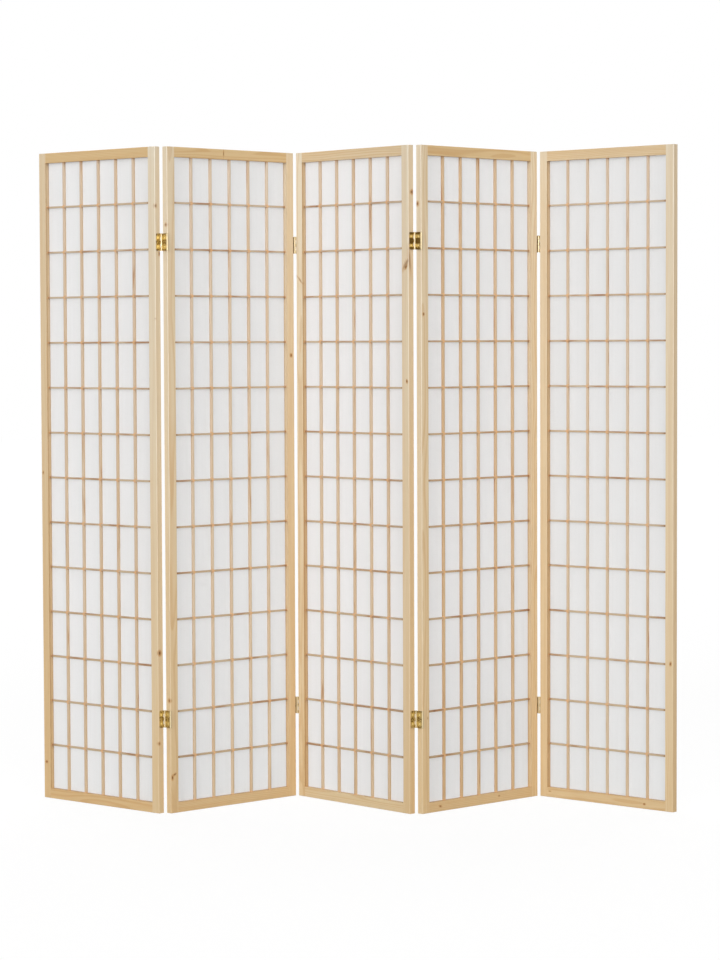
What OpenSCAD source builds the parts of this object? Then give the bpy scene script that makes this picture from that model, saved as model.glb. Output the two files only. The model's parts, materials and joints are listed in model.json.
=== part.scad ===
// Folding screen: five lattice panels backed with paper, joined by two-way hinges.
// X runs to the right, Y to the back and Z up; the origin is on the floor, in the middle of the plan.

/* [Panels] */
// Height of a panel
panel_h = 1780; // [1200:10:2000]
// Width of a panel
panel_w = 445; // [350:5:600]
// Thickness of a panel's frame
frame_t = 19; // [18:0.5:30]

/* [Frame] */
// Width of a stile
stile_w = 25; // [22:1:50]
// Height of the top and bottom rails
rail_h = 27; // [22:1:60]
// Width of the chamfer on a panel's outer edges
arris = 0.8; // [0.4:0.1:1.5]
// Length of a rail's tenon
tenon_len = 16; // [8:1:18]
// Thickness of a rail's tenon
tenon_t = 6; // [4:0.5:8]
// Shoulder above and below a tenon
tenon_shoulder = 6; // [6:0.5:8]

/* [Lattice] */
// Cells from side to side
cells_across = 6; // [2:1:10]
// Cells from top to bottom
cells_up = 14; // [4:1:24]
// Face width of a lattice strip
strip_w = 5; // [4:0.5:10]
// Depth of a lattice strip
strip_d = 8; // [5:0.5:9]
// Distance from the frame's front face back to the lattice
lattice_set = 5.4; // [2:0.2:6]
// How far the strips' ends are let into the frame
housing = 3; // [1:0.5:4]

/* [Paper] */
// Thickness of the paper
paper_t = 0.4; // [0.2:0.1:1]
// Width of the rebate land that the paper is glued to
paper_land = 5; // [3:0.5:5]

/* [Hinges] */
// Distance from a panel's end to the middle of the nearer hinge
hinge_inset = 253; // [120:1:500]
// Height of a hinge
hinge_h = 46; // [38:1:80]
// Gap between two panels in line
hinge_gap = 5; // [4.6:0.1:8]
// Thickness of a hinge leaf
leaf_t = 1.2; // [0.8:0.1:1.3]
// Distance from a panel's face to the free edge of the leaf on its edge
leaf_inset = 4; // [1:0.5:5]
// Radius of that leaf's free corners
leaf_corner = 3; // [1:0.5:5]
// Knuckles in a barrel
knuckles = 5; // [3:2:7]
// Radius of a hinge pin
pin_r = 1.2; // [0.9:0.05:1.3]
// Distance between the two screws of a leaf
screw_pitch = 24; // [16:1:28]
// Length of a screw
screw_len = 14; // [8:1:16]
// Radius of a screw's shank
shank_r = 1.3; // [1:0.1:1.6]
// Radius of a screw's head
head_r = 3; // [2.4:0.1:3.4]

/* [Standing plan] */
// Direction of the middle panel, from left to right
middle_angle = -47; // [-90:1:90]
// Turn of the first fold from flat
fold_angle_12 = 83; // [0:0.5:178]
// Turn of the second fold from flat
fold_angle_23 = 89.5; // [0:0.5:178]
// Turn of the third fold from flat
fold_angle_34 = 90; // [0:0.5:178]
// Turn of the last fold from flat
fold_angle_45 = 84; // [0:0.5:178]

/* [Hidden] */
$fn = 48;
PINE = [0.87, 0.76, 0.60];
STRIP_PINE = [0.80, 0.66, 0.48];
PAPER = [0.93, 0.93, 0.92];
BRASS = [0.80, 0.66, 0.33];

panels = 5;
// Clearance of a tenon in its mortise, and of the paper in its rebate
joint_gap = 0.1;
paper_gap = 0.5;
// Clearance of a pin in its knuckles, of one knuckle above the next, and of a screw in its hole
pin_clear = 0.05;
knuckle_gap = 0.3;
screw_clear = 0.05;
// Clearance between a barrel and the plane of a panel's face
barrel_clear = 0.2;
// How far a cutting shape runs past the face that it opens
past = 1;

open_w = panel_w - 2 * stile_w;
open_h = panel_h - 2 * rail_h;
cell_w = (open_w - (cells_across - 1) * strip_w) / cells_across;
cell_h = (open_h - (cells_up - 1) * strip_w) / cells_up;
paper_y = lattice_set + strip_d;
recess = paper_land + paper_gap;

barrel_r = hinge_gap / 2;
back_axis = frame_t + barrel_clear + barrel_r;
front_axis = frame_t - back_axis;
knuckle_h = (hinge_h - (knuckles - 1) * knuckle_gap) / knuckles;
head_h = head_r - shank_r;
tip_h = 3;
access_clear = 0.5;
access_r = head_r + access_clear;
pin_head_r = 1.9;
pin_head_h = 0.8;
cross_len = 3.6;
cross_w = 0.7;
cross_deep = 0.9;
hinge_feet = [hinge_inset - hinge_h / 2, panel_h - hinge_inset - hinge_h / 2];

// Plan of the folded screen. An odd fold turns on its back barrel, an even one on its front barrel.
turns = [fold_angle_12, -fold_angle_23, fold_angle_34, -fold_angle_45];
heading_3 = middle_angle;
headings = [heading_3 - turns[1] - turns[0], heading_3 - turns[1], heading_3,
            heading_3 + turns[2], heading_3 + turns[2] + turns[3]];

function is_odd(n) = n % 2 == 1;
function turned(a, p) = [p.x * cos(a) - p.y * sin(a), p.x * sin(a) + p.y * cos(a)];
function heading(n) = headings[n - 1];
function open_axis(fold) = is_odd(fold) ? back_axis : front_axis;
function corner(n) = n == 1 ? [0, 0]
    : corner(n - 1) + turned(heading(n - 1), [panel_w + hinge_gap / 2, open_axis(n - 1)])
      - turned(heading(n), [-hinge_gap / 2, open_axis(n - 1)]);
function in_plan(n, p) = corner(n) + turned(heading(n), p);

// A board's section with its four arrises taken off
function eased(w, t) = [[arris, 0], [w - arris, 0], [w, arris], [w, t - arris],
                        [w - arris, t], [arris, t], [0, t - arris], [0, arris]];

// Every fold's two barrels, which stand proud of the panels, count in the plan's extent
barrel_spots = [for (fold = [1:panels - 1]) each [
    in_plan(fold, [panel_w + hinge_gap / 2, back_axis]),
    in_plan(fold + 1, [-hinge_gap / 2, front_axis])]];
plan_spots = concat(
    [for (n = [1:panels], p = eased(panel_w, frame_t)) in_plan(n, p)],
    [for (p = barrel_spots, d = [-barrel_r, barrel_r]) p + [d, d]]);
plan_xs = [for (p = plan_spots) p.x];
plan_ys = [for (p = plan_spots) p.y];
plan_middle = [(min(plan_xs) + max(plan_xs)) / 2, (min(plan_ys) + max(plan_ys)) / 2];

// A panel's own frame: x along its front from the left edge, y to its back
module in_panel(n) {
    spot = corner(n) - plan_middle;
    translate([spot.x, spot.y, 0]) rotate(heading(n)) children();
}

// The gap at a fold's left panel and at its right panel: x runs from 0 to hinge_gap
module gap_at_left(fold) in_panel(fold) translate([panel_w, 0, 0]) children();
module gap_at_right(fold) in_panel(fold + 1) translate([-hinge_gap, 0, 0]) children();

// The middle leaf lies against the panel on the side of its closed barrel
module gap_at_closed(fold) {
    if (is_odd(fold)) gap_at_right(fold) children();
    else gap_at_left(fold) children();
}

module both_hinges() for (foot = hinge_feet) translate([0, 0, foot]) children();

module half_turn() translate([hinge_gap, frame_t, 0]) rotate(180) children();

// Frame

// The whole panel as one board with its outer arrises taken off
module eased_panel() intersection() {
    linear_extrude(panel_h) polygon(eased(panel_w, frame_t));
    translate([0, 0, panel_h]) rotate([0, 90, 0]) linear_extrude(panel_w) polygon(eased(panel_h, frame_t));
}

module paper_recess() translate([stile_w - recess, paper_y, rail_h - recess])
    cube([open_w + 2 * recess, frame_t, open_h + 2 * recess]);

module tenon(clear) translate([-tenon_len - clear, (frame_t - tenon_t) / 2, tenon_shoulder])
    cube([tenon_len + clear + past, tenon_t, rail_h - 2 * tenon_shoulder]);

function strip_x(i) = stile_w + i * cell_w + (i - 1) * strip_w;
function strip_z(i) = rail_h + i * cell_h + (i - 1) * strip_w;

module stile(drilled) difference() {
    intersection() {
        cube([stile_w, frame_t, panel_h]);
        eased_panel();
    }
    for (end = [0, 1]) translate([stile_w, 0, end * panel_h]) mirror([0, 0, end]) tenon(joint_gap);
    for (i = [1:cells_up - 1]) translate([stile_w - housing, lattice_set, strip_z(i)])
        cube([housing + past, strip_d, strip_w]);
    paper_recess();
    if (drilled) both_hinges() leaf_screws() translate([0, 0, leaf_t]) screw_hole();
}

module rail() difference() {
    union() {
        intersection() {
            translate([stile_w, 0, 0]) cube([open_w, frame_t, rail_h]);
            eased_panel();
        }
        for (end = [0, 1]) translate([stile_w + end * open_w, 0, 0]) mirror([end, 0, 0]) tenon(0);
    }
    for (i = [1:cells_across - 1]) translate([strip_x(i), lattice_set, rail_h - housing])
        cube([strip_w, strip_d, housing + past]);
    paper_recess();
}

module left_stile(n) color(PINE) in_panel(n) stile(n > 1);
module right_stile(n) color(PINE) in_panel(n) translate([panel_w, 0, 0]) mirror([1, 0, 0]) stile(n < panels);
module top_rail(n) color(PINE) in_panel(n) translate([0, 0, panel_h]) mirror([0, 0, 1]) rail();
module bottom_rail(n) color(PINE) in_panel(n) rail();

// Lattice: the strips cross in half laps, the rails in front, and their ends are let into the frame

module lattice_rail(i) translate([0, lattice_set, strip_z(i)]) difference() {
    translate([stile_w - housing, 0, 0]) cube([open_w + 2 * housing, strip_d, strip_w]);
    for (j = [1:cells_across - 1]) translate([strip_x(j), strip_d / 2, -past])
        cube([strip_w, strip_d, strip_w + 2 * past]);
}

module lattice_stile(i) translate([strip_x(i), lattice_set, 0]) difference() {
    translate([0, 0, rail_h - housing]) cube([strip_w, strip_d, open_h + 2 * housing]);
    for (j = [1:cells_up - 1]) translate([-past, -strip_d / 2, strip_z(j)])
        cube([strip_w + 2 * past, strip_d, strip_w]);
}

module lattice_rails(n) color(STRIP_PINE) in_panel(n) for (i = [1:cells_up - 1]) lattice_rail(i);
module lattice_stiles(n) color(STRIP_PINE) in_panel(n) for (i = [1:cells_across - 1]) lattice_stile(i);

module paper(n) color(PAPER) in_panel(n) translate([stile_w - paper_land, paper_y, rail_h - paper_land])
    cube([open_w + 2 * paper_land, paper_t, open_h + 2 * paper_land]);

// Hinges: a leaf on each panel's edge and a middle leaf that joins the back barrel to the front one

function knuckle_z(i) = i * (knuckle_h + knuckle_gap);

// Knuckles first, first + 2 and so on of the back barrel, each on an arm of the leaf at arm_x
module back_knuckles(first, arm_x) for (i = [first:2:knuckles - 1]) translate([0, 0, knuckle_z(i)]) {
    translate([barrel_r, back_axis, 0]) cylinder(r = barrel_r, h = knuckle_h);
    translate([arm_x, frame_t - 2 * arris, 0]) cube([leaf_t, back_axis - frame_t + 2 * arris, knuckle_h]);
}

// The plate on a panel's edge stops short of the face away from its barrel, with rounded corners there
module edge_plate() rotate([90, 0, 90]) linear_extrude(leaf_t) {
    round_y = leaf_inset + leaf_corner;
    translate([round_y, 0]) square([frame_t - arris - round_y, hinge_h]);
    translate([leaf_inset, leaf_corner]) square([leaf_corner, hinge_h - 2 * leaf_corner]);
    for (z = [leaf_corner, hinge_h - leaf_corner]) translate([round_y, z]) circle(leaf_corner);
}

module middle_plate() translate([barrel_r - leaf_t / 2, arris, 0]) cube([leaf_t, frame_t - 2 * arris, hinge_h]);

module back_bore() translate([barrel_r, back_axis, -past])
    cylinder(r = pin_r + pin_clear, h = hinge_h + 2 * past);

// Two spots on a panel's edge, with z pointing out of the edge
module leaf_screws() for (side = [-1, 1])
    translate([0, frame_t / 2, hinge_h / 2 + side * screw_pitch / 2]) rotate([0, -90, 0]) children();

module screw_hole() {
    translate([0, 0, -head_h]) cylinder(r1 = shank_r + screw_clear, r2 = head_r + screw_clear + past,
                                        h = head_h + past);
    translate([0, 0, -screw_len - screw_clear]) cylinder(r = shank_r + screw_clear, h = screw_len);
}

module screw() difference() {
    union() {
        translate([0, 0, -head_h]) cylinder(r1 = shank_r, r2 = head_r, h = head_h);
        translate([0, 0, tip_h - screw_len]) cylinder(r = shank_r, h = screw_len - tip_h - head_h);
        translate([0, 0, -screw_len]) cylinder(r1 = shank_r / 4, r2 = shank_r, h = tip_h);
    }
    for (a = [0, 90]) rotate(a) translate([-cross_len / 2, -cross_w / 2, -cross_deep])
        cube([cross_len, cross_w, cross_deep + past]);
}

// The leaf and screws of the left panel's edge; a half turn gives the right panel's
module edge_leaf() difference() {
    union() {
        edge_plate();
        back_knuckles(0, 0);
    }
    back_bore();
    edge_screws() screw_hole();
}

module edge_screws() translate([leaf_t, 0, 0]) mirror([1, 0, 0]) leaf_screws() children();

module middle_leaf() difference() {
    union() {
        middle_plate();
        back_knuckles(1, barrel_r - leaf_t / 2);
        half_turn() back_knuckles(1, barrel_r - leaf_t / 2);
    }
    back_bore();
    half_turn() back_bore();
    translate([hinge_gap, 0, 0]) leaf_screws() cylinder(r = access_r, h = hinge_gap);
}

module pin() translate([barrel_r, back_axis, 0]) {
    cylinder(r = pin_r, h = hinge_h + knuckle_gap);
    translate([0, 0, hinge_h + knuckle_gap]) cylinder(r1 = pin_head_r, r2 = pin_r, h = pin_head_h);
}

module hinge_left_leaf(fold) color(BRASS) gap_at_left(fold) both_hinges() edge_leaf();
module hinge_right_leaf(fold) color(BRASS) gap_at_right(fold) both_hinges() half_turn() edge_leaf();
module hinge_middle_leaf(fold) color(BRASS) gap_at_closed(fold) both_hinges() middle_leaf();
module left_screws(fold) color(BRASS) gap_at_left(fold) both_hinges() edge_screws() screw();
module right_screws(fold) color(BRASS) gap_at_right(fold) both_hinges() half_turn() edge_screws() screw();
module hinge_pins(fold) color(BRASS) gap_at_closed(fold) both_hinges() {
    pin();
    half_turn() pin();
}

PANEL_PIECES = ["left_stile", "right_stile", "top_rail", "bottom_rail",
                "lattice_rails", "lattice_stiles", "paper"];
HINGE_PIECES = ["hinge_left_leaf", "hinge_middle_leaf", "hinge_right_leaf",
                "hinge_pins", "left_screws", "right_screws"];

for (n = [1:panels]) {
    left_stile(n);
    right_stile(n);
    top_rail(n);
    bottom_rail(n);
    lattice_rails(n);
    lattice_stiles(n);
    paper(n);
}
for (f = [1:panels - 1]) {
    hinge_left_leaf(f);
    hinge_middle_leaf(f);
    hinge_right_leaf(f);
    hinge_pins(f);
    left_screws(f);
    right_screws(f);
}
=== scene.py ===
import json
import math
import random

import bpy
from bpy.props import FloatProperty, FloatVectorProperty, PointerProperty
from mathutils import Matrix, Vector, noise

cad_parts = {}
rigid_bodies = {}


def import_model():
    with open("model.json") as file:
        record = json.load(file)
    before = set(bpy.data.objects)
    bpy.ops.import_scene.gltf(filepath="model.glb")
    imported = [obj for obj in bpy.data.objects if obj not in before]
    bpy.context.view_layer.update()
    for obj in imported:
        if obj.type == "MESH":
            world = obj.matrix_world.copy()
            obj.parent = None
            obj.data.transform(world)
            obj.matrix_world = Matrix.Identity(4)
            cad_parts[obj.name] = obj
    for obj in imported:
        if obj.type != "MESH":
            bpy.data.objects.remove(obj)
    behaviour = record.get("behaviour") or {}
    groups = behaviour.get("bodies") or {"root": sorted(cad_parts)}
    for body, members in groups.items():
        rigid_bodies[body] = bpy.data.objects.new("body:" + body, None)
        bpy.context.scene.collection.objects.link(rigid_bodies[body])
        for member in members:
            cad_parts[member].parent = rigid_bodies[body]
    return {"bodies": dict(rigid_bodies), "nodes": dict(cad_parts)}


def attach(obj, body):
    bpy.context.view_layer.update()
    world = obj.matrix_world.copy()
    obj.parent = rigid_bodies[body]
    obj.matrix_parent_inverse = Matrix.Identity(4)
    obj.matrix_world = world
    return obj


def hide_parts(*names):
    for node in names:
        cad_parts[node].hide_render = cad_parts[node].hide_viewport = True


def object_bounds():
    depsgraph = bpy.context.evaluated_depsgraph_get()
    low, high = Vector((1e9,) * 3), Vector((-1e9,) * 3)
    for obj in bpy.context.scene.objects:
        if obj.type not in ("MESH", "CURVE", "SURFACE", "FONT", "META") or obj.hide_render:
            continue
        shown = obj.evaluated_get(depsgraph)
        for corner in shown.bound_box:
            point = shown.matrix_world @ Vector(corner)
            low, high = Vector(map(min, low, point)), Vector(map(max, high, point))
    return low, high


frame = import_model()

bl_info = {
    "name": "Folding Screen",
    "version": (1, 0, 0),
    "blender": (4, 5, 0),
    "location": "View3D > Sidebar > Folding Screen",
    "description": "Finishes a folding screen's pine, paper and brass, and sets up its studio",
    "category": "Object",
}

MM = 0.001
# Places in metres are rounded to this many digits before they are compared
PLACE_DIGITS = 5
CAD_BOX = [list(corner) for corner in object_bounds()]
PANELS = sorted(int(body[-1]) for body in frame["bodies"] if body.startswith("panel_"))
FOLDS = sorted(body[-2:] for body in frame["bodies"] if body.startswith("link_"))
BOARDS = ("left_stile", "right_stile", "top_rail", "bottom_rail")


# Settings

def linear(code):
    """An sRGB hex colour, such as D9BE94, as linear red, green, blue and alpha."""
    parts = [int(code[i:i + 2], 16) / 255 for i in (0, 2, 4)]
    return [c / 12.92 if c <= 0.04045 else ((c + 0.055) / 1.055) ** 2.4 for c in parts] + [1.0]


def colour(name, code, description):
    """A colour setting with its default given in sRGB hex."""
    return FloatVectorProperty(name=name, description=description, default=linear(code),
                               subtype="COLOR", size=4, min=0.0, max=1.0)


def millimetres(name, size, description):
    """A length setting in metres with its default given in millimetres."""
    return FloatProperty(name=name, description=description, default=size * MM,
                         subtype="DISTANCE", unit="LENGTH", min=0.0)


def share(name, value, description):
    """A setting from 0 to 1."""
    return FloatProperty(name=name, description=description, default=value,
                         subtype="FACTOR", min=0.0, max=1.0)


def brightness(name, value, description):
    """A setting for how bright a light is."""
    return FloatProperty(name=name, description=description, default=value, min=0.0)


def degrees(name, angle, description):
    """An angle setting in radians with its default given in degrees."""
    return FloatProperty(name=name, description=description, default=math.radians(angle),
                         subtype="ANGLE", unit="ROTATION")


class PineSettings(bpy.types.PropertyGroup):
    """Sizes and colours of the pine boards and strips"""
    head: colour("Boards at the Top", "E6DDC9", "Colour of the boards near the top")
    foot: colour("Boards at the Foot", "E0CAA3", "Colour of the boards near the floor")
    honey: colour("Honey", "F0D9B4", "Tint of the deeper boards and of the warmer streaks in each")
    # Painted shade: the boards' sides that face right are darker, as if less light fell on them
    side: colour("Right Sides", "F5ECE0", "Tint of the sides that face right, which took more coat")
    # Painted shade on the boards' sides in the recess of the frame's opening
    inner: colour("Inner Sides", "F0E7DC", "Tint of the boards' sides inside the frame's opening")
    # Painted shade on a left stile's inner side, darkest just behind its front edge
    left_stile_shade: colour("Left Stile Shade", "E8DDCB",
                    "Tint of a left stile's inner side behind its front edge")
    # Painted highlight along the upright corners' chamfers, strongest near the top
    corner_highlight: colour("Corner Highlight", "FFF6E6",
                  "Colour of the upright corners, which were sanded bare")
    strip_head: colour("Strips at the Top", "D9C9B6", "Colour of the lattice near the top")
    strip_foot: colour("Strips at the Foot", "D2BFA4", "Colour of the lattice near the floor")
    latewood: colour("Latewood", "E2C296", "Tint of the hard part of a growth ring")
    resin: colour("Resin", "C99A6C", "Tint of the browner stretches of a strip")
    rail: colour("Lattice Rails", "EEECE8", "Tint of the strips that run across")
    lap: colour("Half Lap", "DFAE78", "Colour of the wood where two strips cross")
    joint: colour("Strip End", "D0A474", "Tint of a rail strip where it meets a stile")
    # Painted shade on the wood just in front of the paper
    beside_paper_shade: colour("Shade Beside Paper", "D2B89E", "Tint of the wood where glue soaked in beside the paper")
    knot: colour("Knot", "6B4520", "Colour of a knot's core")
    halo: colour("Knot Halo", "D9AA66", "Tint of the wood round a knot")
    ring: millimetres("Ring Spacing", 3.0, "Width of one growth ring")
    fibre: millimetres("Fibre Width", 0.5, "Width of one wood fibre streak")
    streak: millimetres("Streak Width", 9.0, "Width of a broad streak of colour")
    streak_run: millimetres("Streak Length", 420.0, "Length of a broad streak of colour")
    ring_depth: share("Ring Depth", 0.32, "How much the growth rings show in the boards")
    strip_depth: share("Strip Ring Depth", 0.2, "How much the growth rings show in the strips")
    streak_depth: share("Streak Depth", 0.25, "How much the broad streaks show")
    fibre_depth: share("Fibre Depth", 0.15, "How much the fibres show")
    spread: share("Spread", 0.2, "How much the strips differ from each other")
    ease: millimetres("Eased Edge", 0.35, "Width of the sanded round on a board's edges")
    strip_ease: millimetres("Strip Edge", 0.25, "Width of the sanded round on a strip's edges")
    rough: share("Roughness", 0.5, "Roughness of the planed wood under its clear coat")


class PaperSettings(bpy.types.PropertyGroup):
    """Sizes and colours of the paper"""
    tone: colour("Paper", "F6F5F5", "Colour of the whitest sheet")
    # Painted shade of a sheet that gets less light, and of each sheet's foot
    shade: colour("Shade", "E2E3E3", "Tint of a sheet that is less white")
    fleck: colour("Fibre", "F5F5F4", "Tint of the fibres in the paper")
    through: share("Translucency", 0.75, "Share of the light that passes each face of the paper")
    swell: millimetres("Swell", 0.3,
                       "How far the paper stands off its plane in the middle of a cell")
    laid: millimetres("Laid Lines", 5.0, "Distance between the paper's faint upright lines")
    fibre: millimetres("Fibre Length", 3.0, "Length of the fibres in the paper")
    glue: millimetres("Glue Line", 0.03, "Thickness of the glue between lattice and paper")


class BrassSettings(bpy.types.PropertyGroup):
    """Sizes and colours of the hinges and screws"""
    barrel: colour("Barrels", "C8B894", "Colour of the rubbed plating on barrels and pins")
    plate: colour("Plates", "CAB47C", "Colour of the plating on the leaves' flat plates")
    screw: colour("Screws", "F4E6B4", "Colour of the plating on the screws")
    # The plates' olive brown patches: partly tarnish, partly painted dark reflection
    tarnish_and_reflection: colour("Tarnish", "7A6234", "Colour of the tarnish on a plate")
    patch: millimetres("Tarnish Patch", 3.2, "Size of a patch of tarnish")
    scratch: millimetres("Scratch Width", 0.6, "Width of the fine scratches along a leaf")
    # The dull patches are partly tarnish and partly painted dark reflection; more show on upper
    # plates
    upper: share("Upper Tarnish", 0.52,
                 "Level of the patches' noise below which an upper plate is dull")
    lower: share("Lower Tarnish", 0.48,
                 "Level of the patches' noise below which a lower plate is dull")
    rough: share("Roughness", 0.36, "Roughness of the rubbed plating")
    dulled: share("Tarnish Roughness", 0.45, "Roughness of the tarnished plating")


class StageSettings(bpy.types.PropertyGroup):
    """Floor, light and camera"""
    floor: colour("Floor", "8E8E8E", "Colour of the floor that throws light back on the screen")
    shadow: colour("Floor in View", "6A6A6A", "Colour that takes the screen's soft shadow")
    glow: share("Floor Glow", 0.88, "Light of the floor in view, which makes it read as white")
    ambient: share("Ambient", 0.40, "Strength of the light from all round")
    key: brightness("Key Light", 1.6, "Strength of the light from the front left")
    fill: brightness("Fill Light", 1.2, "Strength of the light from the front right")
    back: brightness("Back Light", 1.5, "Strength of the light from behind")
    lens: FloatProperty(name="Lens", description="Focal length on a 36 mm high frame",
                        default=107.8, subtype="DISTANCE_CAMERA", min=1.0)
    across: millimetres("Camera Across", 17.2, "How far right of the screen's middle the camera is")
    away: millimetres("Camera Distance", 7794.5, "How far in front of the screen's middle it is")
    eye: millimetres("Camera Height", 1257.8, "Height of the camera above the floor")
    tip: degrees("Tip", 2.733, "How far the camera looks down")
    roll: degrees("Roll", -0.219, "How far the camera leans over")


class ScreenSettings(bpy.types.PropertyGroup):
    """Everything about the folding screen that a user would change"""
    pine: PointerProperty(type=PineSettings, name="Pine", description="Boards and strips")
    paper: PointerProperty(type=PaperSettings, name="Paper", description="Sheets of paper")
    brass: PointerProperty(type=BrassSettings, name="Brass", description="Hinges and screws")
    stage: PointerProperty(type=StageSettings, name="Stage", description="Floor, light and camera")


# Where things are, from the frame

def panel_place(n):
    """Panel n's axes, right, to the back and up, as a matrix at its front bottom left corner."""
    paper = frame["nodes"][f"paper_{n}"].data.vertices
    plan = sorted((v.co.to_2d() for v in paper), key=lambda p: p.x)
    half = len(plan) // 2
    left, right = (sum(side, Vector((0, 0))) / half for side in (plan[:half], plan[half:]))
    turn = Matrix.Rotation(math.atan2(right.y - left.y, right.x - left.x), 4, "Z")
    stile = [turn.inverted() @ v.co for v in frame["nodes"][f"left_stile_{n}"].data.vertices]
    return turn @ Matrix.Translation([min(p[axis] for p in stile) for axis in range(3)])


PLACES = {n: panel_place(n) for n in PANELS}


def levels(piece, n, axis):
    """The distinct places of piece's faces along one of panel n's axes, from low to high."""
    back_to_panel = PLACES[n].inverted()
    points = (back_to_panel @ v.co for v in frame["nodes"][f"{piece}_{n}"].data.vertices)
    return sorted({round(p[axis], PLACE_DIGITS) for p in points})


def span(piece, n, axis):
    """Where piece starts and ends along one of panel n's axes, in millimetres."""
    places = levels(piece, n, axis)
    return places[0] / MM, places[-1] / MM


# Shader nodes

# How many finer layers a soft and a sharper pattern have, and the range that their seeds come from
SOFT = 1.0
SHARP = 2.0
SEEDS = (0.0, 100.0)
# The step of a pattern that already runs from 0 to 1
WHOLE = (0.0, 1.0)
# Index of refraction of the wood's clear coat and of the paper's fibres
COAT_IOR = 1.5
FIBRE_IOR = 1.5


def socket(sockets, key):
    """A socket by its place, or by its name among those in use."""
    if isinstance(key, int):
        return sockets[key]
    return next(s for s in sockets if s.enabled and s.name == key)


def add(tree, kind, feeds, **settings):
    """Adds a node with its settings, and feeds its inputs, by name or in order."""
    node = tree.nodes.new("ShaderNode" + kind)
    for name, value in settings.items():
        setattr(node, name, value)
    for key, feed in feeds.items() if isinstance(feeds, dict) else enumerate(feeds):
        if isinstance(feed, bpy.types.Node):
            feed = next(s for s in feed.outputs if s.enabled)
        if isinstance(feed, bpy.types.NodeSocket):
            tree.links.new(feed, socket(node.inputs, key))
        else:
            socket(node.inputs, key).default_value = feed
    return node


def new_material(name):
    """A material with no nodes yet, and its tree."""
    material = bpy.data.materials.new(name)
    material.use_nodes = True
    material.node_tree.nodes.clear()
    return material, material.node_tree


def panel_space(tree, place):
    """Coordinates in millimetres along a panel's own axes, which stay with it when it moves."""
    here = socket(add(tree, "TexCoord", {}).outputs, "Object")
    return add(tree, "Mapping", {"Vector": here, "Location": place.translation,
                                 "Rotation": (0, 0, place.to_euler().z), "Scale": (MM, MM, MM)},
               vector_type="TEXTURE")


def how_far(tree, value, middle):
    """How far a value is from a middle one, above or below it."""
    off = add(tree, "Math", [value, middle], operation="SUBTRACT")
    return add(tree, "Math", [off], operation="ABSOLUTE")


def tinted(tree, tone, tints):
    """A colour under tints: each one's pattern, its step, how much shows at most, and the tint."""
    for pattern, step, most, tint in tints:
        here = add(tree, "MapRange", [pattern, *step, 0.0, most], interpolation_type="SMOOTHSTEP")
        tone = add(tree, "Mix", {"Factor": here, "A": tone, "B": tint}, data_type="RGBA",
                   blend_type="MULTIPLY")
    return tone


def drawn_out(tree, board, seed, width, run, detail):
    """Noise from 0 to 1 in patches of one width and length, drawn out along Z."""
    patch = add(tree, "Mapping", {"Vector": board, "Scale": (1 / width, 1 / width, 1 / run)})
    return add(tree, "TexNoise", {"Vector": patch, "W": seed, "Scale": 1.0, "Detail": detail},
               noise_dimensions="4D")


def from_nearest(tree, along, first, pitch):
    """How far a spot is from the nearest of a row of lines, in millimetres, and its number."""
    start = add(tree, "Math", [along, first], operation="SUBTRACT")
    steps = add(tree, "Math", [start, pitch], operation="DIVIDE")
    number = add(tree, "Math", [steps], operation="ROUND")
    off = how_far(tree, steps, number)
    return add(tree, "Math", [off, pitch], operation="MULTIPLY"), number


# Pine

# Knots that show, and the darkest spots of three strips: the piece, then in millimetres how far to
# the right, to the back and up from the panel's front bottom left corner, the spot's half width,
# its half length, its lean in degrees and its darkness. The width of one that is set to the back
# runs from front to back.
KNOTS = (
    ("left_stile_1", 6, 0, 903, 2.2, 4.0, 10, 0.7),
    ("left_stile_1", 10, 0, 100, 4.0, 3.0, -10, 0.8),
    ("right_stile_1", 445, 3, 1623, 4.0, 5.0, 0, 0.6),
    ("right_stile_1", 443, 0, 1324, 1.4, 2.4, 0, 0.6),
    ("right_stile_1", 445, 16, 1496, 3.4, 4.6, 0, 0.8),
    ("right_stile_1", 445, 6, 431, 5.0, 6.0, 15, 0.9),
    ("right_stile_1", 445, 3, 188, 3.4, 4.0, 0, 0.7),
    ("left_stile_2", 0, 6, 1573, 4.4, 4.4, 0, 0.6),
    ("left_stile_2", 0, 5, 303, 4.4, 4.8, 0, 0.7),
    ("left_stile_2", 5, 0, 96, 2.6, 5.0, 0, 0.9),
    ("left_stile_2", 13, 0, 104, 6.0, 2.4, -25, 0.7),
    ("right_stile_2", 434, 0, 1224, 3.0, 4.2, 0, 1.0),
    ("top_rail_2", 196, 0, 1768, 1.4, 7.0, 0, 0.7),
    ("left_stile_3", 15, 0, 1431, 2.4, 17.0, -46, 0.45),
    ("right_stile_3", 445, 14, 1656, 5.0, 5.4, 0, 0.8),
    ("right_stile_3", 436, 0, 1458, 2.8, 6.0, 32, 1.0),
    ("right_stile_3", 436, 0, 1466, 5.5, 22.0, 38, 0.5),
    ("right_stile_3", 445, 5, 1474, 4.4, 34.0, 6, 0.45),
    ("right_stile_3", 438, 0, 1155, 3.0, 4.2, -15, 0.9),
    ("left_stile_4", 0, 14, 1625, 4.4, 5.4, 0, 0.8),
    ("left_stile_4", 8, 0, 1333, 2.8, 4.0, 0, 0.8),
    ("left_stile_4", 20, 0, 256, 2.0, 3.0, 0, 0.45),
    ("bottom_rail_4", 66, 0, 14, 4.5, 2.6, 20, 0.7),
    ("bottom_rail_4", 292, 0, 17, 3.4, 2.2, 0, 0.6),
    ("right_stile_5", 437, 0, 398, 3.0, 4.6, 10, 0.8),
    ("bottom_rail_5", 352, 0, 13, 3.6, 2.4, 0, 0.7),
    ("bottom_rail_5", 33, 0, 16, 4.0, 1.6, 0, 0.4),
    ("lattice_rails_1", 90, 10, 150, 80.0, 6.0, 0, 0.22),
    ("lattice_rails_3", 80, 10, 1632, 60.0, 6.0, 0, 0.34),
    ("lattice_rails_4", 50, 10, 273, 32.0, 6.0, 0, 0.36),
)
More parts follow.
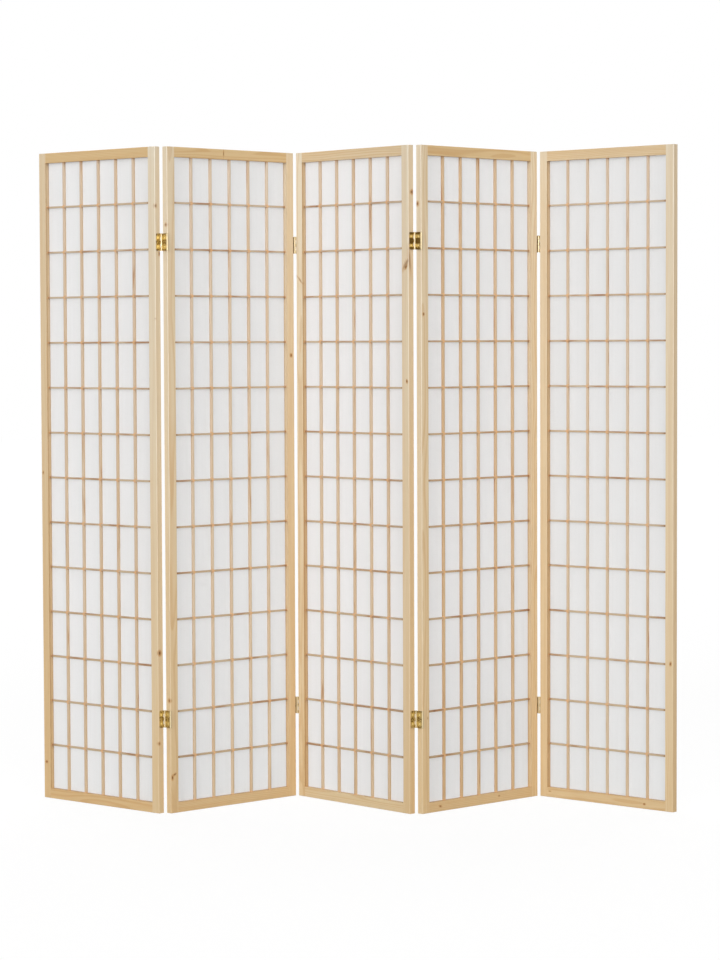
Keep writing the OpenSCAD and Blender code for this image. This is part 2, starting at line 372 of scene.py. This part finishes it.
# How honey-coloured the five panels' boards and strips are, from left to right
HONEY = {"left_stile": (0.5, 0.4, 0.05, 0.45, 0.2), "right_stile": (0.05, 0.4, 0.15, 0.35, 0.1),
         "top_rail": (1.0, 1.0, 0.65, 1.0, 0.7), "bottom_rail": (0.6, 0.5, 0.0, 0.55, 0.35),
         "lattice_rails": (0.1, 0.1, 0.1, 0.4, 0.0), "lattice_stiles": (0.1, 0.0, 0.1, 0.5, 0.0)}
# How much painted shade the sides that face right have, from the left panel to the right one
RIGHT_SIDE_SHADE = (0.3, 1.0, 1.0, 1.0, 1.0)
# A knot's reach into the board in millimetres, its halo's reach in widths of the knot, and how much
# the halo shows
KNOT_DEPTH = 5.0
HALO = 2.3
HALO_TINT = 0.8
# How far the rings bow round a knot and wander along a board, and the size of the patches in which
# they wander, in millimetres
KNOT_BOW = 4.0
WANDER = 14.0
WANDER_PATCH = (50.0, 50.0, 330.0)
# Where the tree's pith lies from a board's middle, in millimetres, and how far it leans along the
# board in radians
PITH_ACROSS = 60.0
PITH_BEHIND = (25.0, 70.0)
PITH_LEAN = 0.003
# A fibre's length in widths, a brown stretch's in millimetres, and how far apart in the tree two
# strips were cut, in millimetres
FIBRE_RUN = 60.0
RESIN_RUN = {"lattice_rails": 80.0, "lattice_stiles": 140.0}
STRIP_APART = (170.0, 170.0, 900.0)
# How squarely a side has to face right to take the painted shade: the cosine where the shade starts
# and is full. The honey of a board's faces ends over the same step.
SIDE_STEP = (0.4, 0.8)
# The cosine at which a corner's chamfer faces right or left, and how far from it the painted
# highlight starts to show and is full
ARRIS_FACING = 0.707
ARRIS_STEP = (0.28, 0.1)
# Where each soft step of the pattern starts and ends
LATE_START = (0.3, 0.86)
LATE_END = (1.0, 0.9)
STREAK_STEP = (0.36, 0.68)
FIBRE_STEP = (0.4, 0.75)
RESIN_STEP = {"lattice_rails": (0.48, 0.72), "lattice_stiles": (0.62, 0.76)}
CORE_STEP = (1.0, 0.35)
HALO_STEP = (HALO, 0.7)
# How far from a half lap's middle and from a strip's end their colours start and are full, in
# millimetres, and how much they and a browner stretch show
LAP_STEP = (6.5, 2.5)
END_STEP = (12.0, 3.0)
LAP_DEPTH = 0.75
END_DEPTH = 0.8
RESIN_DEPTH = 0.7
# How deep the grain lies in the surface, in millimetres, how strongly it shows, and how high
# latewood stands beside the fibres
GRAIN_RELIEF = 0.12
GRAIN_STRENGTH = 0.35
LATE_RELIEF = 0.5
# How much of a polish the clear coat has
COAT_GLOSS = 0.4
# How far in front of the paper the painted shade beside it starts to show and is full, in
# millimetres, and how much it shows on boards and on strips
BESIDE_PAPER_STEP = (6.0, 1.0)
BESIDE_PAPER_DEPTH = 0.5
STRIP_BESIDE_PAPER_DEPTH = 0.35
# How far behind a left stile's front face the painted shade on its inner side starts and is full,
# in millimetres, and how far past the opening's edge a board still counts as inside it
LEFT_STILE_SHADE_STEP = (9.0, 2.0)
OPENING_OVER = 0.2
# The reach within which a mesh's corners are one, in millimetres, the steps of an eased edge, and
# the angle in degrees from which an edge is sharp enough to be eased
WELD_REACH = 0.01
EASE_STEPS = 2
SHARP_FROM = 40


def knots_near(tree, panel, board):
    """How dark a board's knots make a spot, and how near the spot is to one."""
    dark, near = None, None
    for _, x, y, z, width, length, lean, depth in (k for k in KNOTS if k[0] == board):
        lean = math.radians(lean)
        turn, size = (0, lean, 0), (width, KNOT_DEPTH, length)
        if y:
            turn, size = (lean, 0, 0), (KNOT_DEPTH, width, length)
        spot = add(tree, "Mapping", {"Vector": panel, "Location": (x, y, z), "Rotation": turn,
                                     "Scale": size}, vector_type="TEXTURE")
        away = add(tree, "VectorMath", [spot], operation="LENGTH")
        away = socket(away.outputs, "Value")
        core, halo = (add(tree, "MapRange", [away, *step, 0.0, depth],
                          interpolation_type="SMOOTHSTEP") for step in (CORE_STEP, HALO_STEP))
        dark = add(tree, "Math", [dark, core], operation="MAXIMUM") if dark else core
        near = add(tree, "Math", [near, halo], operation="MAXIMUM") if near else halo
    return dark, near


def growth_rings(tree, board, draw, settings, near):
    """The share of latewood at a spot of a board whose length runs along Z."""
    seed = draw.uniform(*SEEDS)
    pith = (draw.uniform(-PITH_ACROSS, PITH_ACROSS),
            draw.choice((-1, 1)) * draw.uniform(*PITH_BEHIND), 0)
    lean = (draw.uniform(-PITH_LEAN, PITH_LEAN), draw.uniform(-PITH_LEAN, PITH_LEAN), 0)
    patch = add(tree, "Mapping", {"Vector": board, "Scale": [1 / size for size in WANDER_PATCH]})
    wander = add(tree, "TexNoise", {"Vector": patch, "W": seed, "Scale": 1.0, "Detail": SOFT},
                 noise_dimensions="4D")
    middle = add(tree, "Mapping", {"Vector": board, "Location": pith, "Rotation": lean})
    bent = add(tree, "VectorMath", [socket(wander.outputs, "Color"), (WANDER, WANDER, 0.0), middle],
               operation="MULTIPLY_ADD")
    across = add(tree, "VectorMath", [bent, (1.0, 1.0, 0.0)], operation="MULTIPLY")
    reach = socket(add(tree, "VectorMath", [across], operation="LENGTH").outputs, "Value")
    if near:
        reach = add(tree, "Math", [near, KNOT_BOW, reach], operation="MULTIPLY_ADD")
    turns = add(tree, "Math", [reach, settings.ring / MM], operation="DIVIDE")
    turn = add(tree, "Math", [turns], operation="FRACT")
    ends = [add(tree, "MapRange", [turn, *step, 0.0, 1.0], interpolation_type="SMOOTHSTEP")
            for step in (LATE_START, LATE_END)]
    return add(tree, "Math", ends, operation="MULTIPLY")


def faces_right(tree, n):
    """How squarely the surface faces panel n's right: from 1, through 0, to -1 on its left."""
    normal = socket(add(tree, "TexCoord", {}).outputs, "Normal")
    right = PLACES[n].col[0].to_3d()
    facing = add(tree, "VectorMath", [normal, right], operation="DOT_PRODUCT")
    return socket(facing.outputs, "Value")


def in_opening(tree, axes, n):
    """1 inside the opening of panel n's frame and on the boards' inner sides, and 0 outside it."""
    both = []
    for axis, low, high in (("X", span("left_stile", n, 0)[1], span("right_stile", n, 0)[0]),
                            ("Z", span("bottom_rail", n, 2)[1], span("top_rail", n, 2)[0])):
        off = how_far(tree, axes.outputs[axis], (low + high) / 2)
        reach = (high - low) / 2 + OPENING_OVER
        both.append(add(tree, "Math", [off, reach], operation="LESS_THAN"))
    return add(tree, "Math", both, operation="MULTIPLY")


# Planed pine under a clear satin coat: pale and slightly pink near the top, honey near the floor,
# with soft rings and streaks along each board, small dark knots and a dull shine. Painted shade
# deepens a board's inner sides and its sides that face right, a left stile's inner side behind its
# front edge and the wood just in front of the paper, and a painted highlight lies along the upright
# corners, strongest near the top. A strip has its own tone, some are browner for a stretch, and the
# wood is golden where strips cross and brown where they end. lattice gives a strip's row, the row
# that crosses it and the places of its ends.
def pine(piece, n, upright, head, foot, lattice=None):
    settings = bpy.context.scene.folding_screen.pine
    name = f"{piece}_{n}"
    draw = random.Random(name)
    material, tree = new_material("planed_pine_" + name)
    panel = panel_space(tree, PLACES[n])
    axes = add(tree, "SeparateXYZ", [panel])
    dark, near = knots_near(tree, panel, name)
    x, y, z = (sum(span(piece, n, axis)) / 2 for axis in range(3))
    start, turn = ((-x, -y, 0), (0, 0, 0)) if upright else ((-z, -y, 0), (0, math.pi / 2, 0))
    board = add(tree, "Mapping", {"Vector": panel, "Location": start, "Rotation": turn})
    if lattice:
        strips, crossings, ends = lattice
        _, number = from_nearest(tree, axes.outputs[strips[0]], *strips[1:])
        number = add(tree, "Math", [number, draw.uniform(*SEEDS)], operation="ADD")
        place = add(tree, "TexWhiteNoise", {"W": number}, noise_dimensions="1D")
        chance = socket(place.outputs, "Value")
        own = add(tree, "Math", [chance, settings.spread, HONEY[piece][n - 1]],
                  operation="MULTIPLY_ADD")
        board = add(tree, "VectorMath", [socket(place.outputs, "Color"), STRIP_APART, board],
                    operation="MULTIPLY_ADD")
    else:
        right = faces_right(tree, n)
        aside = add(tree, "Math", [right], operation="ABSOLUTE")
        own = add(tree, "MapRange", [aside, *SIDE_STEP, HONEY[piece][n - 1], 0.0])
    late = growth_rings(tree, board, draw, settings, near)
    fibres = drawn_out(tree, board, draw.uniform(*SEEDS), settings.fibre / MM,
                       settings.fibre / MM * FIBRE_RUN, SHARP)
    streaks = drawn_out(tree, board, draw.uniform(*SEEDS), settings.streak / MM,
                        settings.streak_run / MM, SHARP)

    height = add(tree, "MapRange", [axes.outputs["Z"], 0.0, CAD_BOX[1][2] / MM, 0.0, 1.0])
    tone = add(tree, "Mix", {"Factor": height, "A": foot, "B": head}, data_type="RGBA")
    tone = add(tree, "Mix", {"Factor": own, "A": tone, "B": settings.honey}, data_type="RGBA",
               blend_type="MULTIPLY")
    inside = in_opening(tree, axes, n)
    # Painted shade on the wood just in front of the paper, inside the opening
    ahead = add(tree, "Math", [span("paper", n, 1)[0], axes.outputs["Y"]], operation="SUBTRACT")
    beside_paper = add(tree, "MapRange", [ahead, *BESIDE_PAPER_STEP, 0.0, inside],
                 interpolation_type="SMOOTHSTEP")
    depth = settings.strip_depth if lattice else settings.ring_depth
    tints = [(streaks, STREAK_STEP, settings.streak_depth, settings.honey),
             (late, WHOLE, depth, settings.latewood),
             (fibres, FIBRE_STEP, settings.fibre_depth, settings.honey),
             (beside_paper, WHOLE, STRIP_BESIDE_PAPER_DEPTH if lattice else BESIDE_PAPER_DEPTH, settings.beside_paper_shade)]
    if lattice:
        brown = drawn_out(tree, board, draw.uniform(*SEEDS), settings.streak / MM,
                          RESIN_RUN[piece], SOFT)
        lap, _ = from_nearest(tree, axes.outputs[crossings[0]], *crossings[1:])
        tints.append((brown, RESIN_STEP[piece], RESIN_DEPTH, settings.resin))
        if ends:
            tints.append((inside, WHOLE, 1.0, settings.rail))
            end = how_far(tree, axes.outputs["X"], (ends[0] + ends[1]) / 2)
            end = add(tree, "Math", [(ends[1] - ends[0]) / 2, end], operation="SUBTRACT")
            tints.append((end, END_STEP, END_DEPTH, settings.joint))
    else:
        # Painted shade on the boards' sides that face right and on their inner sides in the opening
        tints += [(right, SIDE_STEP, RIGHT_SIDE_SHADE[n - 1], settings.side),
                  (inside, WHOLE, 1.0, settings.inner)]
    # Painted shade on a left stile's inner side, darkest behind its front edge
    if piece == "left_stile":
        left_stile_shade = add(tree, "MapRange", [axes.outputs["Y"], *LEFT_STILE_SHADE_STEP, 0.0, inside])
        tints.append((left_stile_shade, WHOLE, 1.0, settings.left_stile_shade))
    if near:
        tints.append((near, WHOLE, HALO_TINT, settings.halo))
    tone = tinted(tree, tone, tints)
    if lattice:
        lapped = add(tree, "MapRange", [lap, *LAP_STEP, 0.0, LAP_DEPTH],
                     interpolation_type="SMOOTHSTEP")
        tone = add(tree, "Mix", {"Factor": lapped, "A": tone, "B": settings.lap}, data_type="RGBA")
    else:
        # Painted highlight along the upright corners, strongest near the top
        chamfer = how_far(tree, aside, ARRIS_FACING)
        highlit = add(tree, "MapRange", [chamfer, *ARRIS_STEP, 0.0, height])
        tone = add(tree, "Mix", {"Factor": highlit, "A": tone, "B": settings.corner_highlight}, data_type="RGBA")
    if dark:
        tone = add(tree, "Mix", {"Factor": dark, "A": tone, "B": settings.knot}, data_type="RGBA")
    relief = add(tree, "Math", [late, LATE_RELIEF, fibres], operation="MULTIPLY_ADD")
    bump = add(tree, "Bump", {"Height": relief, "Strength": GRAIN_STRENGTH,
                              "Distance": GRAIN_RELIEF * MM})
    shader = add(tree, "BsdfPrincipled", {"Base Color": tone, "Roughness": settings.rough,
                                          "IOR": COAT_IOR, "Specular IOR Level": COAT_GLOSS,
                                          "Normal": bump})
    add(tree, "OutputMaterial", {"Surface": shader})
    return material


def ease_edges(thing, width):
    """Sanded rounds on a wooden piece's edges, as modifiers on the CAD mesh."""
    weld = thing.modifiers.new("one_skin", "WELD")
    weld.merge_threshold = WELD_REACH * MM
    bevel = thing.modifiers.new("eased_edges", "BEVEL")
    bevel.width = width
    bevel.segments = EASE_STEPS
    bevel.limit_method = "ANGLE"
    bevel.angle_limit = math.radians(SHARP_FROM)
    shade = thing.modifiers.new("flat_faces", "WEIGHTED_NORMAL")
    shade.keep_sharp = True


class SCREEN_OT_frames(bpy.types.Operator):
    """Finish the stiles and rails of every panel in planed pine"""
    bl_idname = "folding_screen.frames"
    bl_label = "Finish Frames"

    def execute(self, context):
        settings = context.scene.folding_screen.pine
        for n in PANELS:
            for piece in BOARDS:
                board = frame["nodes"][f"{piece}_{n}"]
                upright = "stile" in piece
                board.data.materials[0] = pine(piece, n, upright, settings.head, settings.foot)
                ease_edges(board, settings.ease)
        return {"FINISHED"}


class SCREEN_OT_lattices(bpy.types.Operator):
    """Finish the lattice strips of every panel in planed pine"""
    bl_idname = "folding_screen.lattices"
    bl_label = "Finish Lattices"

    def execute(self, context):
        settings = context.scene.folding_screen.pine
        for n in PANELS:
            rows, columns = levels("lattice_rails", n, 2), levels("lattice_stiles", n, 0)
            row = ("Z", (rows[0] + rows[1]) / 2 / MM, (rows[2] - rows[0]) / MM)
            column = ("X", (columns[0] + columns[1]) / 2 / MM, (columns[2] - columns[0]) / MM)
            ends = (levels("left_stile", n, 0)[-1] / MM, levels("right_stile", n, 0)[0] / MM)
            for piece, upright, lattice in (("lattice_rails", False, (row, column, ends)),
                                            ("lattice_stiles", True, (column, row, None))):
                strips = frame["nodes"][f"{piece}_{n}"]
                strips.data.materials[0] = pine(piece, n, upright, settings.strip_head,
                                                settings.strip_foot, lattice)
                ease_edges(strips, settings.strip_ease)
        return {"FINISHED"}


# Paper

# How much painted shade each panel's sheet has, from left to right, how much more it has at the
# foot, and how high up that reaches in millimetres
SHADING = (0.4, 0.5, 0.25, 0.43, 0.5)
FOOT_SHADE = 0.12
FOOT_REACH = 450.0
# Where the soft steps of the paper's lines and fibres start and end, how much each shows, and a
# laid line's length in widths
LAID_STEP = (0.35, 0.75)
LAID_DEPTH = 0.12
FLECK_STEP = (0.5, 0.75)
FLECK_DEPTH = 0.5
LAID_RUN = 40.0
# The fibres' layers of finer noise, how curled they are, and their seed's step from the laid lines'
FLECK_LAYERS = 4.0
FLECK_CURL = 1.5
FLECK_SEED = 0.5
# How deep the fibres lie in the paper, in millimetres, and how strongly they show
FIBRE_RELIEF = 0.1
FIBRE_STRENGTH = 0.3
# How matt the paper is, and how much it shines
PAPER_ROUGH = 0.85
PAPER_GLOSS = 0.25
# Steps of the sheet's mesh across a cell, the width and height of a slack wave in metres, and how
# far apart two sheets are in the noise of the waves
CELL_STEPS = 6
WAVE = (0.11, 0.2)
WAVE_APART = 31


# Matt fibrous white paper: even and neutral, with upright lines that only just show, and it glows a
# little with the light from behind. Each sheet has its own painted shade, deeper towards the foot.
def paper_material(n):
    settings = bpy.context.scene.folding_screen.paper
    material, tree = new_material(f"white_fibre_paper_{n}")
    panel = panel_space(tree, PLACES[n])
    laid = drawn_out(tree, panel, float(n), settings.laid / MM, settings.laid / MM * LAID_RUN, SOFT)
    flecks = add(tree, "TexNoise", {"Vector": panel, "W": n + FLECK_SEED,
                                    "Scale": MM / settings.fibre, "Detail": FLECK_LAYERS,
                                    "Distortion": FLECK_CURL}, noise_dimensions="4D")
    up = add(tree, "SeparateXYZ", [panel]).outputs["Z"]
    # Painted shade of this sheet, deeper towards the foot
    shading = SHADING[n - 1]
    shaded = add(tree, "MapRange", [up, 0.0, FOOT_REACH, shading + FOOT_SHADE, shading])
    tone = add(tree, "Mix", {"Factor": shaded, "A": settings.tone, "B": settings.shade},
               data_type="RGBA")
    tone = tinted(tree, tone, ((laid, LAID_STEP, LAID_DEPTH, settings.fleck),
                               (flecks, FLECK_STEP, FLECK_DEPTH, settings.fleck)))
    bump = add(tree, "Bump", {"Height": flecks, "Strength": FIBRE_STRENGTH,
                              "Distance": FIBRE_RELIEF * MM})
    front = add(tree, "BsdfPrincipled", {"Base Color": tone, "Roughness": PAPER_ROUGH,
                                         "IOR": FIBRE_IOR, "Specular IOR Level": PAPER_GLOSS,
                                         "Normal": bump})
    glow = add(tree, "BsdfTranslucent", {"Color": tone, "Normal": bump})
    both = add(tree, "MixShader", [settings.through, front, glow])
    add(tree, "OutputMaterial", {"Surface": both})
    return material


def sheet_lines(edges):
    """Lines across the sheet and how slack it is at each, from the edges of what holds it."""
    lines = [(edges[0], 0.0)]
    for i, (start, end) in enumerate(zip(edges, edges[1:])):
        if i % 2 == 0:
            lines.append((end, 0.0))
            continue
        for step in range(1, CELL_STEPS + 1):
            part = step / CELL_STEPS
            lines.append((start + (end - start) * part, math.sin(math.pi * part)))
    return lines


def paper_sheet(n, settings):
    """A sheet of paper glued to the frame's rebate and the lattice, a little slack in the cells."""
    across, deep, up = (levels("paper", n, axis) for axis in range(3))
    near, far = deep[0], deep[-1]
    columns = [across[0], levels("left_stile", n, 0)[-1], *levels("lattice_stiles", n, 0),
               levels("right_stile", n, 0)[0], across[-1]]
    rows = [up[0], levels("bottom_rail", n, 2)[-1], *levels("lattice_rails", n, 2),
            levels("top_rail", n, 2)[0], up[-1]]
    draw = random.Random(n)
    columns, rows = sheet_lines(columns), sheet_lines(rows)
    in_cell = CELL_STEPS + 1
    cells = {(i, j): draw.uniform(0, 1) for i in range(len(columns)) for j in range(len(rows))}
    points = []
    for j, (z, slack_z) in enumerate(rows):
        for i, (x, slack_x) in enumerate(columns):
            wave = noise.noise(Vector((x / WAVE[0] + WAVE_APART * n, z / WAVE[1], 0)))
            slack = slack_x * slack_z * (cells[i // in_cell, j // in_cell] + wave)
            points.append(PLACES[n] @ Vector((x, near + settings.glue + settings.swell * slack, z)))
    wide = len(columns)
    faces = [(j * wide + i, j * wide + i + 1, (j + 1) * wide + i + 1, (j + 1) * wide + i)
             for j in range(len(rows) - 1) for i in range(wide - 1)]
    mesh = bpy.data.meshes.new(f"paper_sheet_{n}")
    mesh.from_pydata(points, [], faces)
    mesh.shade_smooth()
    sheet = bpy.data.objects.new(f"paper_sheet_{n}", mesh)
    bpy.context.scene.collection.objects.link(sheet)
    thick = sheet.modifiers.new("thickness", "SOLIDIFY")
    thick.thickness = far - near - 2 * settings.glue
    thick.offset = -1
    return sheet, (across[-1] - across[0], up[-1] - up[0])


class SCREEN_OT_papers(bpy.types.Operator):
    """Glue a sheet of paper behind every lattice"""
    bl_idname = "folding_screen.papers"
    bl_label = "Hang Papers"

    def execute(self, context):
        settings = context.scene.folding_screen.paper
        for n in PANELS:
            sheet, flat = paper_sheet(n, settings)
            sheet.data.materials.append(paper_material(n))
            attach(sheet, f"panel_{n}")
            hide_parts(f"paper_{n}")
        return {"FINISHED"}


# Brass

# A scratch's length in widths, how soft a patch's edge is, and the sum of tarnish and scratches
# where roughness starts to rise and is full
SCRATCH_RUN = 20.0
PATCH_EDGE = 0.06
ROUGH_STEP = (0.2, 1.6)
# How deep the scratches are, in millimetres, and how strongly they show
SCRATCH_RELIEF = 0.05
SCRATCH_STRENGTH = 0.2
# How much more tarnish and painted dark reflection one fold's upper plates have than the others
DULLEST_FOLD = "34"
DULLEST = 0.16
# The height of the lower hinges' middle, how far up from it the upper ones' is, and how far above
# and below a hinge's middle its screws are, in millimetres
HINGE_ROWS = (253.0, 1274.0)
SCREWS_OFF = 12.0
# The reach of the plating that was rubbed bright beside a screw, in millimetres, and how much less
# tarnish and painted dark reflection it has
RUB_STEP = (6.0, 3.0)
RUBBED = 0.3


def plate_share(tree, n, settings, more):
    """Where a hinge is a flat plate between panel faces, and the level of tarnish and painted
    dark reflection for its height.
    """
    axes = add(tree, "SeparateXYZ", [panel_space(tree, PLACES[n])])
    front, back = span("left_stile", n, 1)
    off = how_far(tree, axes.outputs["Y"], (front + back) / 2)
    flat = add(tree, "Math", [off, (back - front) / 2], operation="LESS_THAN")
    level = add(tree, "MapRange", [axes.outputs["Z"], 0.0, CAD_BOX[1][2] / MM, settings.lower,
                                   settings.upper + more], interpolation_type="SMOOTHSTEP")
    away, _ = from_nearest(tree, axes.outputs["Z"], *HINGE_ROWS)
    away = how_far(tree, away, SCREWS_OFF)
    rubbed = add(tree, "MapRange", [away, *RUB_STEP, 0.0, RUBBED], interpolation_type="SMOOTHSTEP")
    return flat, add(tree, "Math", [level, rubbed], operation="SUBTRACT")


# Brass-plated steel, stamped and tumbled: barrels and screws are rubbed bright and pale, and a
# plate between the panels' edges is yellower and has olive brown patches, partly tarnish and partly
# painted dark reflection, least beside its screws. beside is the panel whose edge a leaf lies
# along, and more is its extra tarnish and painted dark reflection at the top.
def brass(name, tone, beside=None, more=0.0):
    settings = bpy.context.scene.folding_screen.brass
    material, tree = new_material(name)
    here = socket(add(tree, "TexCoord", {}).outputs, "Object")
    along = add(tree, "Mapping", {"Vector": here, "Scale": (1, 1, 1 / SCRATCH_RUN)})
    scratches = add(tree, "TexNoise", {"Vector": along, "Scale": 1 / settings.scratch,
                                       "Detail": SHARP})
    marks = scratches
    if beside:
        flat, level = plate_share(tree, beside, settings, more)
        patches = add(tree, "TexNoise", {"Vector": here, "Scale": 1 / settings.patch,
                                         "Detail": SHARP})
        # Dull patches, partly tarnish and partly painted dark reflection, more of them on upper
        # plates
        under = add(tree, "Math", [level, patches], operation="SUBTRACT")
        dull = add(tree, "MapRange", [under, -PATCH_EDGE, PATCH_EDGE, 0.0, flat],
                   interpolation_type="SMOOTHSTEP")
        for where, metal in ((flat, settings.plate), (dull, settings.tarnish_and_reflection)):
            tone = add(tree, "Mix", {"Factor": where, "A": tone, "B": metal}, data_type="RGBA")
        marks = add(tree, "Math", [dull, scratches], operation="ADD")
    rough = add(tree, "MapRange", [marks, *ROUGH_STEP, settings.rough, settings.dulled])
    bump = add(tree, "Bump", {"Height": scratches, "Strength": SCRATCH_STRENGTH,
                              "Distance": SCRATCH_RELIEF * MM})
    shader = add(tree, "BsdfPrincipled", {"Base Color": tone, "Metallic": 1.0, "Roughness": rough,
                                          "Normal": bump})
    add(tree, "OutputMaterial", {"Surface": shader})
    return material


class SCREEN_OT_hinges(bpy.types.Operator):
    """Finish the hinge leaves and pins in brass plating"""
    bl_idname = "folding_screen.hinges"
    bl_label = "Finish Hinges"

    def execute(self, context):
        settings = context.scene.folding_screen.brass
        pins = brass("rubbed_brass_plating", settings.barrel)
        for fold in FOLDS:
            more = DULLEST if fold == DULLEST_FOLD else 0.0
            left, right = (int(digit) for digit in fold)
            even = left if left % 2 == 0 else right
            for piece, beside in (("left", left), ("middle", even), ("right", right)):
                leaf = frame["nodes"][f"hinge_{piece}_leaf_{fold}"]
                name = f"brass_plating_{piece}_{fold}"
                leaf.data.materials[0] = brass(name, settings.barrel, beside, more)
            fold_pins = frame["nodes"][f"hinge_pins_{fold}"]
            fold_pins.data.materials[0] = pins
        return {"FINISHED"}


class SCREEN_OT_screws(bpy.types.Operator):
    """Finish the screws in bright brass plating"""
    bl_idname = "folding_screen.screws"
    bl_label = "Finish Screws"

    def execute(self, context):
        bright = brass("bright_brass_plating", context.scene.folding_screen.brass.screw)
        for fold in FOLDS:
            for side in ("left", "right"):
                screws = frame["nodes"][f"{side}_screws_{fold}"]
                screws.data.materials[0] = bright
        return {"FINISHED"}


# Stage

# How far the floor reaches from the middle and how far the camera sees, in metres
FLOOR_REACH = 30.0
SIGHT = 120.0
WHITE = (1.0, 1.0, 1.0, 1.0)
# Each broad lamp: its name, the direction that it comes from in degrees round from the front to the
# right, its height and the width of its light in degrees
LAMPS = (("key", -25, 16, 35), ("fill", 25, 16, 35), ("back", 180, 25, 90))


def seen_white(tree):
    """1 where the camera, a reflection or glass looks, and 0 for light on its way to the screen."""
    path = add(tree, "LightPath", {})
    straight = add(tree, "Math", [path.outputs["Is Camera Ray"], path.outputs["Is Glossy Ray"]],
                   operation="MAXIMUM")
    return add(tree, "Math", [straight, path.outputs["Is Transmission Ray"]], operation="MAXIMUM")


# A smooth pale studio floor: it reads as white and still keeps the screen's soft shadow.
def floor_material(settings):
    material, tree = new_material("pale_studio_floor")
    seen = seen_white(tree)
    shown = add(tree, "Mix", {"Factor": seen, "A": settings.floor, "B": settings.shadow},
                data_type="RGBA")
    glow = add(tree, "Math", [seen, settings.glow], operation="MULTIPLY")
    lit = add(tree, "BsdfDiffuse", {"Color": shown})
    glowing = add(tree, "Emission", {"Color": WHITE, "Strength": glow})
    both = add(tree, "AddShader", [lit, glowing])
    add(tree, "OutputMaterial", {"Surface": both})
    return material


def studio_world(ambient):
    """White where it is seen, and an even light of its own strength on the screen."""
    world = bpy.data.worlds.new("studio")
    world.use_nodes = True
    tree = world.node_tree
    tree.nodes.clear()
    strength = add(tree, "MapRange", [seen_white(tree), 0.0, 1.0, ambient, 1.0])
    sky = add(tree, "Background", {"Color": WHITE, "Strength": strength})
    add(tree, "OutputWorld", {"Surface": sky})
    return world


def lamp(name, strength, azimuth, elevation, spread):
    """A broad even light from one side."""
    light = bpy.data.lights.new(name + "_light", "SUN")
    light.energy = strength
    light.angle = math.radians(spread)
    holder = bpy.data.objects.new(name + "_light", light)
    bpy.context.scene.collection.objects.link(holder)
    a, e = math.radians(azimuth), math.radians(elevation)
    towards = Vector((math.sin(a) * math.cos(e), -math.cos(a) * math.cos(e), math.sin(e)))
    holder.rotation_euler = towards.to_track_quat("Z", "Y").to_euler()


class SCREEN_OT_stage(bpy.types.Operator):
    """Set the screen on a pale floor in soft light, before a camera at the photograph's angle"""
    bl_idname = "folding_screen.stage"
    bl_label = "Set Up Stage"

    def execute(self, context):
        settings, scene = context.scene.folding_screen.stage, context.scene
        r = FLOOR_REACH
        mesh = bpy.data.meshes.new("floor")
        mesh.from_pydata([(-r, -r, 0), (r, -r, 0), (r, r, 0), (-r, r, 0)], [], [(0, 1, 2, 3)])
        mesh.materials.append(floor_material(settings))
        floor = bpy.data.objects.new("floor", mesh)
        scene.collection.objects.link(floor)

        for name, *place in LAMPS:
            lamp(name, getattr(settings, name), *place)
        scene.world = studio_world(settings.ambient)

        data = bpy.data.cameras.new("camera")
        data.lens = settings.lens
        data.clip_end = SIGHT
        camera = bpy.data.objects.new("camera", data)
        scene.collection.objects.link(camera)
        look = Matrix.Rotation(math.pi / 2 - settings.tip, 4, "X")
        look = look @ Matrix.Rotation(settings.roll, 4, "Z")
        stand = Matrix.Translation((settings.across, -settings.away, settings.eye))
        camera.matrix_world = stand @ look
        scene.camera = camera
        scene.view_settings.view_transform = "Standard"
        return {"FINISHED"}


# Sidebar, registration and the run

class VIEW3D_PT_folding_screen(bpy.types.Panel):
    """Settings and steps of the folding screen"""
    bl_label = "Folding Screen"
    bl_idname = "VIEW3D_PT_folding_screen"
    bl_space_type = "VIEW_3D"
    bl_region_type = "UI"
    bl_category = "Folding Screen"

    def draw(self, context):
        settings = context.scene.folding_screen
        for group, steps in (("pine", ("frames", "lattices")), ("paper", ("papers",)),
                             ("brass", ("hinges", "screws")), ("stage", ("stage",))):
            box = self.layout.box()
            box.label(text=group.title())
            part = getattr(settings, group)
            for name in part.__annotations__:
                box.prop(part, name)
            for step in steps:
                box.operator("folding_screen." + step)


CLASSES = (PineSettings, PaperSettings, BrassSettings, StageSettings, ScreenSettings,
           SCREEN_OT_frames, SCREEN_OT_lattices, SCREEN_OT_papers, SCREEN_OT_hinges,
           SCREEN_OT_screws, SCREEN_OT_stage, VIEW3D_PT_folding_screen)


def register():
    for kind in CLASSES:
        bpy.utils.register_class(kind)
    bpy.types.Scene.folding_screen = PointerProperty(type=ScreenSettings)


def unregister():
    del bpy.types.Scene.folding_screen
    for kind in reversed(CLASSES):
        bpy.utils.unregister_class(kind)


def main():
    register()
    bpy.ops.folding_screen.stage()
    bpy.ops.folding_screen.frames()
    bpy.ops.folding_screen.lattices()
    bpy.ops.folding_screen.papers()
    bpy.ops.folding_screen.hinges()
    bpy.ops.folding_screen.screws()


if __name__ == "__main__":
    main()
